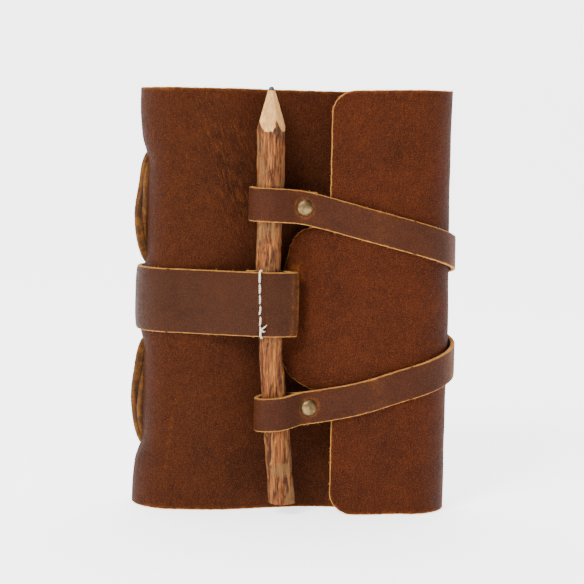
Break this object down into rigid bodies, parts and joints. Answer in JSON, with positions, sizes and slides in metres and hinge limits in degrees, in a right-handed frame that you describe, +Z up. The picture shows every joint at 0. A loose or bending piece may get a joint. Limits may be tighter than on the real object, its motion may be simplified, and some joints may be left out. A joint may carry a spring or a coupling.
{
  "type": "leather notebook cover",
  "caption": "Soft leather wrap cover round a sewn paper block, with a tongued flap, strap loops and a twig pencil as the closing pin.",
  "frame": {"origin": "under the middle of the whole object's box, at the bottom edge it stands on", "axes": "+X to the fore edge, -X to the spine, -Y to the front with the flap and pencil, +Z up along the spine"},
  "size_m": [0.1362, 0.0486, 0.179],
  "materials": {
    "hide": "waxed pull-up leather, mottled, soft sheen",
    "strap": "waxed pull-up leather strap, soft sheen",
    "thread": "waxed off-white thread",
    "brass": "antique, domed, worn",
    "bark": "twig with bark, cut to pale wood at the point",
    "graphite": "graphite lead, dull grey sheen",
    "lace": "suede thong, golden tan",
    "paper": "uncoated cream paper"
  },
  "bodies": {
    "back": {"cover_back": "hide", "cover_spine": "hide", "belt_back": "strap", "belt_spine_wrap": "strap", "belt_back_rivets": "brass", "upper_lace_front": "lace", "upper_lace_back": "lace", "lower_lace_front": "lace", "lower_lace_back": "lace", "signature_5": "paper", "signature_6": "paper", "signature_7": "paper", "signature_8": "paper"},
    "leaves_4": {"signature_4": "paper"},
    "leaves_3": {"signature_3": "paper"},
    "leaves_2": {"signature_2": "paper"},
    "leaves_1": {"signature_1": "paper"},
    "front": {"cover_front": "hide"},
    "band": {"belt_band": "strap", "band_stitching": "thread"},
    "pencil": {"pencil_twig": "bark", "pencil_lead": "graphite"},
    "fore_edge": {"cover_fore_edge": "hide", "upper_tail_wrap": "strap", "lower_tail_wrap": "strap"},
    "flap": {"cover_flap": "hide"},
    "upper_tail": {"upper_tail": "strap", "upper_rivet_cap": "brass", "upper_rivet_post": "brass"},
    "lower_tail": {"lower_tail": "strap", "lower_rivet_cap": "brass", "lower_rivet_post": "brass"}
  },
  "joints": [
    {"name": "front_cover_hinge", "type": "hinge", "parent": "back", "child": "front", "pos_m": [-0.05763, -0.00964, 0.089], "axis": [0, 0, -1], "range_deg": [0, 150], "deforming": ["cover_flap", "upper_tail", "lower_tail", "upper_rivet_cap", "upper_rivet_post", "lower_rivet_cap", "lower_rivet_post", "belt_spine_wrap"]},
    {"name": "band_hinge", "type": "hinge", "parent": "front", "child": "band", "pos_m": [-0.0438, -0.01406, 0.08925], "axis": [0, 0, -1], "range_deg": [0, 110], "deforming": ["belt_band", "band_stitching"]},
    {"name": "pencil_slide", "type": "slide", "parent": "band", "child": "pencil", "axis": [0, 0, 1], "range_m": [0, 0.18]},
    {"name": "fore_edge_fold", "type": "hinge", "parent": "back", "child": "fore_edge", "pos_m": [0.06265, 0.01739, 0.089], "axis": [0, 0, 1], "range_deg": [0, 80], "deforming": ["cover_fore_edge", "upper_tail_wrap", "lower_tail_wrap"]},
    {"name": "flap_fold", "type": "hinge", "parent": "fore_edge", "child": "flap", "pos_m": [0.06265, -0.00851, 0.089], "axis": [0, 0, 1], "range_deg": [0, 80]},
    {"name": "upper_tail_hinge", "type": "hinge", "parent": "flap", "child": "upper_tail", "pos_m": [0.0472, -0.01406, 0.118], "axis": [0, 0, 1], "range_deg": [0, 50]},
    {"name": "lower_tail_hinge", "type": "hinge", "parent": "flap", "child": "lower_tail", "pos_m": [0.0472, -0.01406, 0.054], "axis": [0, 0, 1], "range_deg": [0, 50]},
    {"name": "leaves_4_turn", "type": "hinge", "parent": "back", "child": "leaves_4", "pos_m": [-0.06081, 0.00399, 0.089], "axis": [0, 0, -1], "range_deg": [0, 1.25]},
    {"name": "leaves_3_turn", "type": "hinge", "parent": "leaves_4", "child": "leaves_3", "pos_m": [-0.05953, 0.00067, 0.089], "axis": [0, 0, -1], "range_deg": [0, 1.25]},
    {"name": "leaves_2_turn", "type": "hinge", "parent": "leaves_3", "child": "leaves_2", "pos_m": [-0.05703, -0.00264, 0.089], "axis": [0, 0, -1], "range_deg": [0, 1.25]},
    {"name": "leaves_1_turn", "type": "hinge", "parent": "leaves_2", "child": "leaves_1", "pos_m": [-0.05142, -0.00595, 0.089], "axis": [0, 0, -1], "range_deg": [0, 1.25]}
  ],
  "couplings": [
    {"joint": "flap_fold", "follows": "fore_edge_fold", "ratio": 1},
    {"joint": "leaves_4_turn", "follows": "front_cover_hinge", "ratio": 0.0083333},
    {"joint": "leaves_3_turn", "follows": "front_cover_hinge", "ratio": 0.0083333},
    {"joint": "leaves_2_turn", "follows": "front_cover_hinge", "ratio": 0.0083333},
    {"joint": "leaves_1_turn", "follows": "front_cover_hinge", "ratio": 0.0083333}
  ]
}
